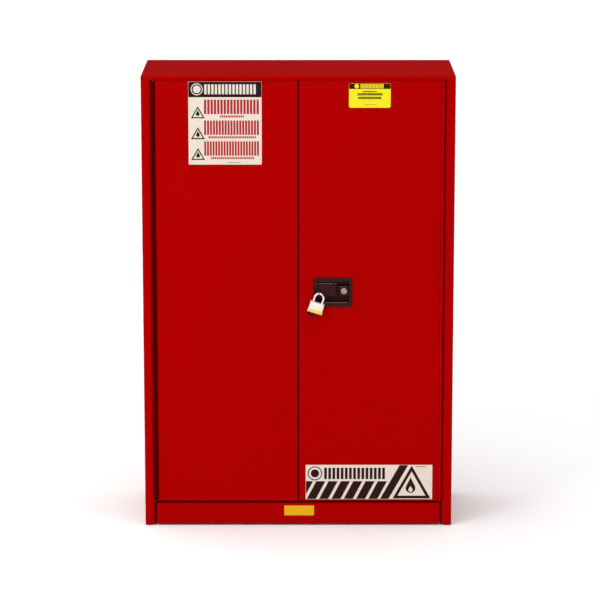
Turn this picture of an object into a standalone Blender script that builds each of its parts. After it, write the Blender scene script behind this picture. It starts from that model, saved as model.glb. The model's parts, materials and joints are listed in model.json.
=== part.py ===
"""A free-standing two-door safety cabinet for flammable liquids.

Double steel walls, a leak-proof sump, two sloping shelves, two vents, a
three-point latch in the right door and a padlock on the handle's hasp.
Metres; +X is the right side seen from the front, the front faces -Y, and the
floor is z = 0. The origin is under the middle of the whole object.
"""

import math

import bmesh
import bpy
from mathutils import Matrix, Vector

# Cabinet
WIDTH = 1.104
HEIGHT = 1.632
DEPTH = 0.457
PADLOCK_REACH = 0.029  # how far the padlock stands in front of the doors
FRONT = (PADLOCK_REACH - DEPTH) / 2
BACK = FRONT + DEPTH
SHEET = 0.0012
AIR_GAP = 0.0381
CLEAR = 0.0003
BEND = 0.003
POST_BOTTOM = 0.003
BASE = 0.006
FLOOR_PLATE = 0.012
CAP_BOTTOM = 1.618
JAMB_DEPTH = 0.0463
STOP_DEPTH = 0.0448
INNER_FRONT = FRONT + JAMB_DEPTH + CLEAR
OUTER_HALF = WIDTH / 2 - SHEET - CLEAR
INNER_HALF = WIDTH / 2 - SHEET - AIR_GAP - SHEET
INNER_BACK = BACK - SHEET - AIR_GAP
INNER_CEILING = HEIGHT - SHEET - AIR_GAP - SHEET
INNER_BOTTOM = FLOOR_PLATE + SHEET + CLEAR

# Posts, sill and sump
POST_INNER = 0.5134
POST_BEND = 0.003
JAMB_SLOPE = 0.010  # width and depth of the slanted face beside each door
SILL_HALF = 0.510
SILL_TOP = 0.083
SILL_STOP_TOP = 0.099
TRAY_FLOOR = 0.026

STRIKE_PLATE = 0.0015
STRIKE_HALF_LENGTH = 0.022
STRIKE_HALF_WIDTH = 0.011
STRIKE_CLEARANCE = 0.0075  # radius of the holes that let a bolt through to its strike
HEADER_TUCK = 0.0018  # how far behind the front the header stop starts

# Doors and hinges
DOOR_INNER = 0.0025
DOOR_OUTER = 0.5036
DOOR_BEND = 0.0015
DOOR_BOTTOM = 0.092
DOOR_TOP = 1.6166
SKIN_DEPTH = 0.0385
LINER_FRONT = FRONT + SKIN_DEPTH + CLEAR
LINER_INSET = 0.0006
LINER_INNER = 0.0006  # the liners close the gap between the doors behind their skins
HINGE_X = 0.5085
HINGE_Y = FRONT - 0.0025
KNUCKLE_RADIUS = 0.0045
LEAF_THICKNESS = 0.0015
KNUCKLES = 15
KNUCKLE_GAP = 0.0006
HINGE_BOTTOM = DOOR_BOTTOM + 0.002
HINGE_TOP = DOOR_TOP - 0.002
PIN_RADIUS = 0.0018
PIN_BORE = 0.0022
LEAF_ROOT = 0.0051  # from the pin's middle back to where a leaf starts
LEAF_REACH = 0.036
LEAF_INNER = 0.478

# Handle, its paddle and the key lock
HANDLE_X = 0.1217
HANDLE_Z = 0.8595
HANDLE_WIDTH = 0.140
HANDLE_HEIGHT = 0.106
HANDLE_CORNER = 0.011
POCKET_LEFT = 0.0630
POCKET_RIGHT = 0.1800
POCKET_BOTTOM = 0.8240
POCKET_TOP = 0.8970
POCKET_WALL = 0.0018
POCKET_DEPTH = 0.020
PADDLE_LEFT = 0.0643
PADDLE_RIGHT = 0.1325
PADDLE_BOTTOM = 0.847
PADDLE_AXIS_Y = FRONT + 0.0015
PADDLE_AXIS_Z = 0.8905
PADDLE_ROLL = 0.004
PADDLE_PIN_RADIUS = 0.0015
PADDLE_BORE = 0.0019
LOCK_X = 0.162
LOCK_Z = 0.8635
LOCK_BORE = 0.0097
PLUG_BORE = 0.0061
BOSS_HALF = 0.016
BOSS_BOTTOM = 0.847
BOSS_TOP = 0.881
EAR_LEFT = 0.1340
EAR_RIGHT = 0.1365

# Three-point latch
LATCH_Y = FRONT + 0.031
ROTOR_X = 0.0985
ROTOR_Z = 0.860
ROTOR_ARM = 0.022
BOLT_RADIUS = 0.006
ROD_RADIUS = 0.0035
STRIKE_HOLE = 0.007
BOLT_HOLE = 0.0068
BOLT_TIP = 0.0009  # how far a bolt's tip stands out of the door
ROTOR_FRONT = FRONT + 0.0235
ROTOR_THICKNESS = 0.0025
ROTOR_RADIUS = 0.014

# Padlock, made upright about the centre of its shackle's arch
LUG_X = 0.0735
LUG_Y = FRONT - 0.0165
LUG_HOLE_Z = 0.8574
LUG_THICKNESS = 0.003
LUG_RADIUS = 0.011
LUG_HOLE = 0.0065
ARCH_RADIUS = 0.016
WIRE_RADIUS = 0.004
PADLOCK_TILT = math.radians(17)
BODY_TOP = -0.0165
BODY_BOTTOM = -0.0505
BODY_HALF_WIDTH = 0.026
BODY_HALF_DEPTH = 0.011
KEY_X = -0.010
BUMPER_WALL = 0.0030
SHACKLE_HOLE = 0.0046
KEYHOLE = 0.0054

# Labels and plates on the front: left, right, bottom, top and corner radius
WARNING_LABEL = (-0.3855, -0.1285, 1.3185, 1.6120, 0.0025)
CAPACITY_LABEL = (0.1775, 0.3235, 1.5200, 1.6055, 0.006)
HAZARD_STRIP = (0.0265, 0.482, 0.0980, 0.2257, 0.001)
SILL_PLATE = (-0.0505, 0.0562, 0.0372, 0.0742, 0.001)
LABEL_DEPTH = 0.0008

# Shelves, vents and feet
SHELF_HEIGHTS = {"lower": 0.560, "upper": 1.080}
SHELF_SLOPE = math.radians(-1.5)
SHELF_HALF = 0.5075
SHELF_FRONT = FRONT + 0.056
SHELF_BACK = BACK - 0.047
SHELF_LIP = 0.030
RAIL_LEDGE = 0.490
RAIL_RISE = 0.045
RAIL_SETBACK = 0.004
VENT_Y = BACK - 0.110
VENTS = {"lower": (-1, 0.160), "upper": (1, 1.500)}
VENT_RADIUS = 0.026
VENT_WALL = 0.002
SCREEN_BACK = 0.010
SCREEN_FRONT = 0.016
BUNG_RADIUS = 0.0236
BUNG_FLANGE = 0.031
BUNG_LENGTH = 0.018
EARTH_Y = BACK - 0.050
EARTH_Z = 0.100
EARTH_HOLE = 0.0027
EARTH_STEM = 0.0023
SIDE_REACH = 0.0020
FOOT_X = 0.532
FOOT_YS = {"front": FRONT + 0.075, "back": BACK - 0.055}
FOOT_STEM = 0.005
FOOT_HOLE = 0.0056
FOOT_PAD = 0.016
FOOT_TOP = 0.060
CUT = 0.01  # how far a cutter reaches past what it cuts

RED = ((0.42, 0.004, 0.006), 0.32, 0.0)
GALVANIZED = ((0.55, 0.57, 0.58), 0.42, 0.9)
STAINLESS = ((0.62, 0.62, 0.61), 0.28, 1.0)
CHROME = ((0.75, 0.75, 0.75), 0.12, 1.0)
HANDLE_BLACK = ((0.020, 0.011, 0.010), 0.45, 0.0)
LAMINATED = ((0.66, 0.63, 0.56), 0.35, 0.9)
YELLOW_PLASTIC = ((0.80, 0.55, 0.04), 0.5, 0.0)
BLACK_PLASTIC = ((0.006, 0.006, 0.006), 0.4, 0.0)
LABEL_CREAM = ((0.80, 0.76, 0.67), 0.5, 0.0)
LABEL_YELLOW = ((0.90, 0.78, 0.04), 0.5, 0.0)
LABEL_ORANGE = ((0.80, 0.45, 0.02), 0.5, 0.0)
BRASS = ((0.55, 0.38, 0.12), 0.35, 1.0)

AXES = {"X": Vector((1, 0, 0)), "Y": Vector((0, 1, 0)), "Z": Vector((0, 0, 1))}


def clear_scene():
    for item in list(bpy.data.objects):
        bpy.data.objects.remove(item, do_unlink=True)


def new_collection(name):
    collection = bpy.data.collections.new(name)
    bpy.context.scene.collection.children.link(collection)
    return collection


def give_finish(item, finish):
    colour, roughness, metallic = finish
    material = bpy.data.materials.new(item.name + "_finish")
    material.use_nodes = True
    shader = material.node_tree.nodes["Principled BSDF"]
    shader.inputs["Base Color"].default_value = (*colour, 1.0)
    shader.inputs["Roughness"].default_value = roughness
    shader.inputs["Metallic"].default_value = metallic
    item.data.materials.append(material)


def new_object(name, mesh, origin, collection):
    """Puts a mesh whose points are in world places into the scene, its origin at origin."""
    bmesh.ops.translate(mesh, verts=mesh.verts, vec=-Vector(origin))
    data = bpy.data.meshes.new(name)
    mesh.to_mesh(data)
    mesh.free()
    item = bpy.data.objects.new(name, data)
    item.location = origin
    collection.objects.link(item)
    return item


def make_part(name, mesh, origin, finish):
    item = new_object(name, mesh, origin, PARTS)
    give_finish(item, finish)
    return item


def make_cutter(name, mesh):
    item = new_object(name, mesh, (0, 0, 0), CUTTERS)
    item.hide_render = True
    item.display_type = "WIRE"
    return item


def change(target, name, mesh, operation="DIFFERENCE"):
    """Cuts a mesh out of an object, or joins it on."""
    modifier = target.modifiers.new(name, "BOOLEAN")
    modifier.operation = operation
    modifier.solver = "EXACT"
    modifier.object = make_cutter(target.name + "_" + name, mesh)


def smooth(item, degrees=40):
    item.data.shade_smooth()
    item.data.set_sharp_from_angle(angle=math.radians(degrees))


def block_mesh(low, high):
    low, high = Vector(low), Vector(high)
    size = high - low
    mesh = bmesh.new()
    bmesh.ops.create_cube(mesh, size=1)
    bmesh.ops.scale(mesh, verts=mesh.verts, vec=size)
    bmesh.ops.translate(mesh, verts=mesh.verts, vec=(low + high) / 2)
    return mesh


def rounded_block_mesh(low, high, radius, axis="Y", segments=4):
    """A block whose four edges along axis are rounded."""
    mesh = block_mesh(low, high)
    edges = []
    for edge in mesh.edges:
        direction = (edge.verts[0].co - edge.verts[1].co).normalized()
        if abs(direction.dot(AXES[axis])) > 0.99:
            edges.append(edge)
    bmesh.ops.bevel(mesh, geom=edges, offset=radius, segments=segments,
                    profile=0.5, affect="EDGES")
    return mesh


def rod_mesh(start, end, radius, segments=16):
    start, end = Vector(start), Vector(end)
    line = end - start
    turn = line.to_track_quat("Z", "Y").to_matrix().to_4x4()
    mesh = bmesh.new()
    bmesh.ops.create_cone(mesh, cap_ends=True, segments=segments, radius1=radius,
                          radius2=radius, depth=line.length,
                          matrix=Matrix.Translation((start + end) / 2) @ turn)
    return mesh


def block(name, low, high, finish):
    origin = (Vector(low) + Vector(high)) / 2
    return make_part(name, block_mesh(low, high), origin, finish)


def add_bends(item, radius):
    bends = item.modifiers.new("bends", "BEVEL")
    bends.width = radius
    bends.segments = 2
    bends.limit_method = "ANGLE"
    bends.angle_limit = math.radians(40)


def add_thickness(item, thickness, offset):
    wall = item.modifiers.new("thickness", "SOLIDIFY")
    wall.thickness = thickness
    wall.offset = offset
    wall.use_even_offset = True


def folded_sheet(name, path, axis, start, end, finish, bend=BEND, thickness=SHEET):
    """A sheet folded along path and running straight from start to end along axis.

    The path lies halfway through the thickness. Its points are (x, y) for a
    sheet along Z, (y, z) for one along X and (x, z) for one along Y.
    """
    places = {"Z": lambda a, b, along: (a, b, along),
              "X": lambda a, b, along: (along, a, b),
              "Y": lambda a, b, along: (a, along, b)}
    mesh = bmesh.new()
    points = [mesh.verts.new(places[axis](a, b, start)) for a, b in path]
    edges = [mesh.edges.new(pair) for pair in zip(points, points[1:])]
    grown = bmesh.ops.extrude_edge_only(mesh, edges=edges)["geom"]
    moved = [piece for piece in grown if isinstance(piece, bmesh.types.BMVert)]
    bmesh.ops.translate(mesh, verts=moved, vec=AXES[axis] * (end - start))
    origin = places[axis](*path[0], start)
    item = make_part(name, mesh, origin, finish)
    if bend:
        add_bends(item, bend)
    add_thickness(item, thickness, 0)
    return item


def pan(name, low, high, open_towards, finish, bend=BEND):
    """A box of sheet with one side open; open_towards is that side's direction."""
    mesh = block_mesh(low, high)
    opening = [face for face in mesh.faces if face.normal.dot(Vector(open_towards)) > 0.9]
    bmesh.ops.delete(mesh, geom=opening, context="FACES")
    origin = (Vector(low) + Vector(high)) / 2
    item = make_part(name, mesh, origin, finish)
    add_bends(item, bend)
    add_thickness(item, SHEET, -1)
    return item


def turned(name, profile, location, finish, rotation=(0, 0, 0), steps=16):
    """A turned piece. The profile's (radius, height) points run from top to bottom."""
    mesh = bmesh.new()
    points = [mesh.verts.new((radius, 0, height)) for radius, height in profile]
    for pair in zip(points, points[1:]):
        mesh.edges.new(pair)
    item = make_part(name, mesh, (0, 0, 0), finish)
    item.location = location
    item.rotation_euler = rotation
    screw = item.modifiers.new("turn", "SCREW")
    screw.steps = steps
    screw.render_steps = steps
    screw.use_merge_vertices = True
    screw.merge_threshold = 0.0001
    screw.use_smooth_shade = True
    return item


def joint_axis(name, location, rotation=(0, 0, 0)):
    axis = bpy.data.objects.new(name, None)
    axis.location = location
    axis.rotation_euler = rotation
    axis.empty_display_size = 0.03
    PARTS.objects.link(axis)
    return axis


def hang_on(axis, items):
    """Parents pieces to a joint's axis and leaves them where they are."""
    offset = Matrix.Translation(axis.location).inverted()
    for item in items:
        item.parent = axis
        item.matrix_parent_inverse = offset


def outer_side(name, side):
    """A side panel that folds into the front post and, at a slant, into the door's jamb."""
    wall = side * (WIDTH / 2 - SHEET / 2)
    inner = side * (POST_INNER + SHEET / 2)
    face = FRONT + SHEET / 2
    slope = inner + side * JAMB_SLOPE
    path = [(wall, BACK), (wall, face), (slope, face), (inner, face + JAMB_SLOPE),
            (inner, FRONT + JAMB_DEPTH)]
    return folded_sheet(name, path, "Z", POST_BOTTOM, CAP_BOTTOM - CLEAR, RED, POST_BEND)


def inner_side(name, side):
    near, far = sorted((side * INNER_HALF, side * (INNER_HALF + SHEET)))
    return block(name, (near, INNER_FRONT, INNER_BOTTOM),
                 (far, INNER_BACK, INNER_CEILING - CLEAR), RED)


def vent_hole(side, height):
    return rod_mesh((side * (INNER_HALF - CUT), VENT_Y, height), (side * (WIDTH / 2 + CUT), VENT_Y, height),
                    VENT_RADIUS + CLEAR, 24)


def build_walls():
    left = outer_side("outer_left_side", -1)
    right = outer_side("outer_right_side", 1)
    inner_left = inner_side("inner_left_side", -1)
    inner_right = inner_side("inner_right_side", 1)
    for pair, (side, height) in zip(((left, inner_left), (right, inner_right)), VENTS.values()):
        for panel in pair:
            change(panel, "vent_hole", vent_hole(side, height))
    change(right, "earth_hole", rod_mesh((WIDTH / 2 - CUT, EARTH_Y, EARTH_Z),
                                         (WIDTH / 2 + CUT, EARTH_Y, EARTH_Z), EARTH_HOLE, 12))
    pan("outer_top", (-WIDTH / 2, FRONT, CAP_BOTTOM), (WIDTH / 2, BACK, HEIGHT), (0, 0, -1), RED)
    block("outer_back", (-OUTER_HALF, BACK - SHEET, BASE), (OUTER_HALF, BACK, CAP_BOTTOM - CLEAR), RED)
    bottom = block("outer_bottom", (-OUTER_HALF, INNER_FRONT, FLOOR_PLATE),
                   (OUTER_HALF, BACK - SHEET - CLEAR, FLOOR_PLATE + SHEET), RED)
    for end, y in FOOT_YS.items():
        for hand, side in (("left", -1), ("right", 1)):
            hole = rod_mesh((side * FOOT_X, y, FLOOR_PLATE - CUT), (side * FOOT_X, y, FLOOR_PLATE + CUT),
                            FOOT_HOLE, 16)
            change(bottom, hand + "_" + end + "_hole", hole)
    edge = INNER_HALF - CLEAR
    block("inner_back", (-edge, INNER_BACK - SHEET, INNER_BOTTOM),
          (edge, INNER_BACK, INNER_CEILING - CLEAR), RED)
    block("inner_top", (-INNER_HALF - SHEET, INNER_FRONT, INNER_CEILING),
          (INNER_HALF + SHEET, INNER_BACK, INNER_CEILING + SHEET), RED)
    pan("sump_tray", (-edge, INNER_FRONT, TRAY_FLOOR), (edge, INNER_BACK - SHEET - CLEAR, SILL_TOP),
        (0, 0, 1), RED)


def build_door_frame():
    face = FRONT + SHEET / 2
    stop = FRONT + STOP_DEPTH
    top = CAP_BOTTOM + SHEET / 2 + CLEAR
    header = folded_sheet("header_stop", [(FRONT + HEADER_TUCK, top), (stop, top), (stop, INNER_CEILING)],
                          "X", CLEAR - POST_INNER, POST_INNER - CLEAR, RED)
    ledge = SILL_TOP - SHEET / 2
    foot = BASE + SHEET / 2
    sill = folded_sheet("sill_panel",
                        [(stop, foot), (face, foot), (face, ledge), (stop, ledge), (stop, SILL_STOP_TOP)],
                        "X", -SILL_HALF, SILL_HALF, RED)
    top_x = ROTOR_X - ROTOR_ARM
    bottom_x = ROTOR_X + ROTOR_ARM
    change(header, "bolt_hole", rod_mesh((top_x, LATCH_Y, top - CUT), (top_x, LATCH_Y, top + CUT),
                                         STRIKE_CLEARANCE))
    change(sill, "bolt_hole", rod_mesh((bottom_x, LATCH_Y, ledge - CUT / 2),
                                       (bottom_x, LATCH_Y, ledge + CUT / 2), STRIKE_CLEARANCE))
    strike_plate("top_strike", top_x, CAP_BOTTOM + SHEET + 2 * CLEAR)
    strike_plate("bottom_strike", bottom_x, SILL_TOP - SHEET - CLEAR - STRIKE_PLATE)
    label("sill_plate", SILL_PLATE, LABEL_ORANGE)


def strike_plate(name, x, bottom):
    plate = block(name, (x - STRIKE_HALF_LENGTH, LATCH_Y - STRIKE_HALF_WIDTH, bottom),
                  (x + STRIKE_HALF_LENGTH, LATCH_Y + STRIKE_HALF_WIDTH, bottom + STRIKE_PLATE), STAINLESS)
    change(plate, "hole", rod_mesh((x, LATCH_Y, bottom - CUT), (x, LATCH_Y, bottom + CUT), STRIKE_HOLE))


def label(name, place, finish):
    """A thin adhesive plate on the cabinet's front plane."""
    left, right, bottom, top, corner = place
    mesh = rounded_block_mesh((left, FRONT - LABEL_DEPTH, bottom), (right, FRONT - CLEAR, top),
                              corner, "Y", 3)
    middle = ((left + right) / 2, FRONT, (bottom + top) / 2)
    return make_part(name, mesh, middle, finish)


def build_shelves():
    middle_y = (SHELF_FRONT + SHELF_BACK) / 2
    for level, height in SHELF_HEIGHTS.items():
        rest = SHEET / 2 + CLEAR
        shelf = pan("shelf_" + level, (-SHELF_HALF, SHELF_FRONT, height + rest),
                    (SHELF_HALF, SHELF_BACK, height + rest + SHELF_LIP), (0, 0, -1), GALVANIZED)
        tilt_about(shelf, (0, middle_y, height))
        for hand, side in (("left", -1), ("right", 1)):
            wall = side * (INNER_HALF - CLEAR - SHEET / 2)
            path = [(wall, height + RAIL_RISE), (wall, height), (side * RAIL_LEDGE, height)]
            rail = folded_sheet("shelf_rail_" + hand + "_" + level, path, "Y", SHELF_FRONT + RAIL_SETBACK,
                                SHELF_BACK - RAIL_SETBACK, GALVANIZED, BEND / 2)
            tilt_about(rail, (0, middle_y, height))


def tilt_about(item, centre):
    """Slopes a piece down to the back, about the line along X through centre."""
    centre = Vector(centre)
    turn = Matrix.Rotation(SHELF_SLOPE, 3, "X")
    item.location = centre + turn @ (Vector(item.location) - centre)
    item.rotation_euler = (SHELF_SLOPE, 0, 0)


def build_vents():
    """Two vents through both walls: a sleeve with its flame screen, and a bung with a gripping recess."""
    inner = VENT_RADIUS - VENT_WALL
    start = INNER_HALF - 2 * CLEAR
    length = WIDTH / 2 - CLEAR - start - 0.0001
    sleeve = [(0, SCREEN_FRONT), (inner, SCREEN_FRONT), (inner, length), (VENT_RADIUS, length),
              (VENT_RADIUS, 0), (inner, 0), (inner, SCREEN_BACK), (0, SCREEN_BACK)]
    head = SIDE_REACH - CLEAR
    recess = head - 0.0055
    bung = [(0, recess), (0.009, recess), (0.010, head), (BUNG_FLANGE - 0.001, head),
            (BUNG_FLANGE, 0.0007), (BUNG_FLANGE, 0), (BUNG_RADIUS, 0),
            (BUNG_RADIUS, -BUNG_LENGTH), (0, -BUNG_LENGTH)]
    for level, (side, height) in VENTS.items():
        outward = (0, side * math.pi / 2, 0)
        turned("vent_sleeve_" + level, sleeve, (side * start, VENT_Y, height), GALVANIZED, outward, 24)
        plug = turned("vent_bung_" + level, bung, (side * (WIDTH / 2 + CLEAR), VENT_Y, height),
                      RED, outward, 24)
        bung_axis = joint_axis("vent_bung_" + level + "_axis", plug.location)
        plug.parent = bung_axis
        plug.location = (0, 0, 0)
    screw = [(0, head), (0.004, head), (0.006, 0.0006), (0.006, 0), (EARTH_STEM, 0), (EARTH_STEM, -0.012),
             (0, -0.012)]
    turned("earth_screw", screw, (WIDTH / 2 + CLEAR, EARTH_Y, EARTH_Z), BRASS, (0, math.pi / 2, 0), 12)


def build_feet():
    profile = [(0, FOOT_TOP), (FOOT_STEM - 0.001, FOOT_TOP), (FOOT_STEM, FOOT_TOP - 0.001),
               (FOOT_STEM, 0.008), (FOOT_PAD - 0.002, 0.006), (FOOT_PAD, 0.004), (FOOT_PAD, 0), (0, 0)]
    for end, y in FOOT_YS.items():
        for hand, side in (("left", -1), ("right", 1)):
            turned("foot_" + end + "_" + hand, profile, (side * FOOT_X, y, 0), GALVANIZED)


def knuckle_mesh(side, towards_door, segment):
    """One knuckle with the short tongue that joins it to its leaf."""
    pitch = (HINGE_TOP - HINGE_BOTTOM) / KNUCKLES
    low = HINGE_BOTTOM + segment * pitch + KNUCKLE_GAP / 2
    high = low + pitch - KNUCKLE_GAP
    thin = KNUCKLE_RADIUS - LEAF_THICKNESS + 0.0001
    wide = KNUCKLE_RADIUS - 0.0001
    reach = LEAF_ROOT + 0.0006
    first = math.acos(thin / KNUCKLE_RADIUS)
    last = math.tau + math.acos(wide / KNUCKLE_RADIUS)
    arc = 13
    outline = [(wide, reach), (thin, reach)]
    for step in range(arc + 1):
        angle = first + (last - first) * step / arc
        outline.append((KNUCKLE_RADIUS * math.cos(angle), KNUCKLE_RADIUS * math.sin(angle)))
    sign = -side if towards_door else side
    mesh = bmesh.new()
    points = [mesh.verts.new((side * HINGE_X + sign * x, HINGE_Y + y, low)) for x, y in outline]
    face = mesh.faces.new(points)
    grown = bmesh.ops.extrude_face_region(mesh, geom=[face])["geom"]
    moved = [piece for piece in grown if isinstance(piece, bmesh.types.BMVert)]
    bmesh.ops.translate(mesh, verts=moved, vec=(0, 0, high - low))
    bmesh.ops.recalc_face_normals(mesh, faces=mesh.faces)
    return mesh


def knuckles_mesh(side, towards_door):
    """Every second knuckle of a hinge, as separate solids in one mesh."""
    first = 1 if towards_door else 0
    together = bmesh.new()
    for segment in range(first, KNUCKLES, 2):
        single = knuckle_mesh(side, towards_door, segment)
        data = bpy.data.meshes.new("knuckle")
        single.to_mesh(data)
        single.free()
        together.from_mesh(data)
        bpy.data.meshes.remove(data)
    return together


def hinge_leaf(name, path, side, towards_door):
    leaf = folded_sheet(name, path, "Z", HINGE_BOTTOM, HINGE_TOP, RED,
                        BEND / 2 if towards_door else 0, LEAF_THICKNESS)
    change(leaf, "knuckles", knuckles_mesh(side, towards_door), "UNION")
    change(leaf, "bore", rod_mesh((side * HINGE_X, HINGE_Y, HINGE_BOTTOM - CUT),
                                  (side * HINGE_X, HINGE_Y, HINGE_TOP + CUT), PIN_BORE, 10))
    return leaf


def build_hinge(hand, side):
    middle = KNUCKLE_RADIUS - LEAF_THICKNESS / 2
    root = HINGE_Y + LEAF_ROOT
    post = side * (HINGE_X + middle)
    hinge_leaf(hand + "_hinge_frame_leaf", [(post, root), (post, FRONT + LEAF_REACH)], side, False)
    edge = side * (HINGE_X - middle)
    behind = LINER_FRONT + SHEET + CLEAR + LEAF_THICKNESS / 2
    door_leaf = hinge_leaf(hand + "_hinge_door_leaf",
                           [(edge, root), (edge, behind), (side * LEAF_INNER, behind)], side, True)
    end = 0.0008
    pin = make_part(hand + "_hinge_pin",
                    rod_mesh((side * HINGE_X, HINGE_Y, HINGE_BOTTOM - end),
                             (side * HINGE_X, HINGE_Y, HINGE_TOP + end), PIN_RADIUS, 10),
                    (side * HINGE_X, HINGE_Y, HINGE_BOTTOM), STAINLESS)
    smooth(pin)
    return door_leaf


def door_skin(hand, side):
    left, right = sorted((side * DOOR_INNER, side * DOOR_OUTER))
    return pan(hand + "_door_skin", (left, FRONT, DOOR_BOTTOM), (right, FRONT + SKIN_DEPTH, DOOR_TOP),
               (0, 1, 0), RED, DOOR_BEND)


def door_liner(hand, side):
    left, right = sorted((side * LINER_INNER, side * (DOOR_OUTER - LINER_INSET)))
    return block(hand + "_door_liner", (left, LINER_FRONT, DOOR_BOTTOM + LINER_INSET),
                 (right, LINER_FRONT + SHEET, DOOR_TOP - LINER_INSET), RED)


def build_left_door():
    skin = door_skin("left", -1)
    change(skin, "strike_hole", rod_mesh((-CUT, LATCH_Y, ROTOR_Z), (0, LATCH_Y, ROTOR_Z), STRIKE_CLEARANCE))
    face = -DOOR_INNER - SHEET - CLEAR
    strike = block("centre_strike", (face - STRIKE_PLATE, LATCH_Y - 0.006, ROTOR_Z - 0.020),
                   (face, LATCH_Y + 0.006, ROTOR_Z + 0.020), STAINLESS)
    change(strike, "hole", rod_mesh((-CUT, LATCH_Y, ROTOR_Z), (0, LATCH_Y, ROTOR_Z), 0.0050))
    warning = label("warning_label", WARNING_LABEL, LABEL_CREAM)
    axis = joint_axis("left_door_axis", (-HINGE_X, HINGE_Y, 0))
    hang_on(axis, [skin, door_liner("left", -1), build_hinge("left", -1), strike, warning])


def build_right_door():
    skin = door_skin("right", 1)
    wall = POCKET_WALL + 2 * CLEAR
    change(skin, "handle_hole", block_mesh((POCKET_LEFT - wall, FRONT - CUT, POCKET_BOTTOM - wall),
                                           (POCKET_RIGHT + wall, FRONT + CUT, POCKET_TOP + wall)))
    top_x = ROTOR_X - ROTOR_ARM
    bottom_x = ROTOR_X + ROTOR_ARM
    change(skin, "top_hole", rod_mesh((top_x, LATCH_Y, DOOR_TOP - CUT), (top_x, LATCH_Y, DOOR_TOP + CUT),
                                      BOLT_HOLE))
    change(skin, "bottom_hole", rod_mesh((bottom_x, LATCH_Y, DOOR_BOTTOM - CUT),
                                         (bottom_x, LATCH_Y, DOOR_BOTTOM + CUT), BOLT_HOLE))
    change(skin, "centre_hole", rod_mesh((DOOR_INNER - CUT, LATCH_Y, ROTOR_Z),
                                         (DOOR_INNER + CUT, LATCH_Y, ROTOR_Z), BOLT_HOLE))
    capacity = label("capacity_label", CAPACITY_LABEL, LABEL_YELLOW)
    strip = label("hazard_strip", HAZARD_STRIP, LABEL_CREAM)
    axis = joint_axis("right_door_axis", (HINGE_X, HINGE_Y, 0))
    pieces = [skin, door_liner("right", 1), build_hinge("right", 1), capacity, strip]
    hang_on(axis, pieces + build_handle())


def build_handle():
    """The fixed black housing, with the paddle's pin and the key cylinder."""
    low_x, high_x = HANDLE_X - HANDLE_WIDTH / 2, HANDLE_X + HANDLE_WIDTH / 2
    low_z, high_z = HANDLE_Z - HANDLE_HEIGHT / 2, HANDLE_Z + HANDLE_HEIGHT / 2
    rim = rounded_block_mesh((low_x, FRONT - 0.003, low_z), (high_x, FRONT - CLEAR, high_z), HANDLE_CORNER)
    housing = make_part("handle_housing", rim, (HANDLE_X, FRONT, HANDLE_Z), HANDLE_BLACK)
    floor = FRONT + POCKET_DEPTH
    wall = POCKET_WALL
    change(housing, "tub", block_mesh((POCKET_LEFT - wall, FRONT - 0.001, POCKET_BOTTOM - wall),
                                      (POCKET_RIGHT + wall, floor + wall, POCKET_TOP + wall)), "UNION")
    change(housing, "pocket", block_mesh((POCKET_LEFT, FRONT - CUT, POCKET_BOTTOM),
                                         (POCKET_RIGHT, floor, POCKET_TOP)))
    change(housing, "lock_boss", rounded_block_mesh((LOCK_X - BOSS_HALF, FRONT - 0.001, BOSS_BOTTOM),
                                                    (LOCK_X + BOSS_HALF, floor + 0.001, BOSS_TOP), 0.003,
                                                    segments=2), "UNION")
    change(housing, "ear", block_mesh((EAR_LEFT, FRONT - 0.001, BOSS_TOP),
                                      (EAR_RIGHT, floor + 0.001, POCKET_TOP + 0.001)), "UNION")
    change(housing, "lock_bore", rod_mesh((LOCK_X, FRONT - CUT, LOCK_Z), (LOCK_X, floor + CUT, LOCK_Z),
                                          LOCK_BORE, 20))
    change(housing, "pin_bore", paddle_bore())
    pin = make_part("paddle_pin", rod_mesh((POCKET_LEFT - 0.0014, PADDLE_AXIS_Y, PADDLE_AXIS_Z),
                                           (EAR_RIGHT - CLEAR, PADDLE_AXIS_Y, PADDLE_AXIS_Z),
                                           PADDLE_PIN_RADIUS, 10),
                    (ROTOR_X, PADDLE_AXIS_Y, PADDLE_AXIS_Z), STAINLESS)
    smooth(pin)
    face = 0.001 + CLEAR
    ring = [(PLUG_BORE, face + 0.0018), (0.0098, face + 0.0022), (0.011, face + 0.0012), (0.011, face),
            (0.0094, face), (0.0094, -0.0215), (PLUG_BORE, -0.0215), (PLUG_BORE, face + 0.0018)]
    cylinder = turned("key_cylinder", ring, (LOCK_X, FRONT, LOCK_Z), CHROME, (math.pi / 2, 0, 0), 24)
    return [housing, pin, cylinder]


def build_paddle():
    """The pull paddle with the hasp lug that the padlock hangs on."""
    plate = rounded_block_mesh((PADDLE_LEFT, FRONT - 0.0025, PADDLE_BOTTOM),
                               (PADDLE_RIGHT, FRONT + 0.0025, PADDLE_AXIS_Z), 0.004, segments=3)
    paddle = make_part("handle_paddle", plate, (ROTOR_X, PADDLE_AXIS_Y, PADDLE_AXIS_Z), HANDLE_BLACK)
    change(paddle, "roll", rod_mesh((PADDLE_LEFT, PADDLE_AXIS_Y, PADDLE_AXIS_Z),
                                    (PADDLE_RIGHT, PADDLE_AXIS_Y, PADDLE_AXIS_Z), PADDLE_ROLL), "UNION")
    half = LUG_THICKNESS / 2
    change(paddle, "lug_root", block_mesh((LUG_X - half, LUG_Y, LUG_HOLE_Z - LUG_RADIUS),
                                          (LUG_X + half, FRONT, LUG_HOLE_Z + LUG_RADIUS)), "UNION")
    change(paddle, "lug_end", rod_mesh((LUG_X - half, LUG_Y, LUG_HOLE_Z), (LUG_X + half, LUG_Y, LUG_HOLE_Z),
                                       LUG_RADIUS, 24), "UNION")
    change(paddle, "lug_hole", rod_mesh((LUG_X - CUT, LUG_Y, LUG_HOLE_Z), (LUG_X + CUT, LUG_Y, LUG_HOLE_Z),
                                        LUG_HOLE, 20))
    change(paddle, "pin_bore", paddle_bore())


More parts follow.
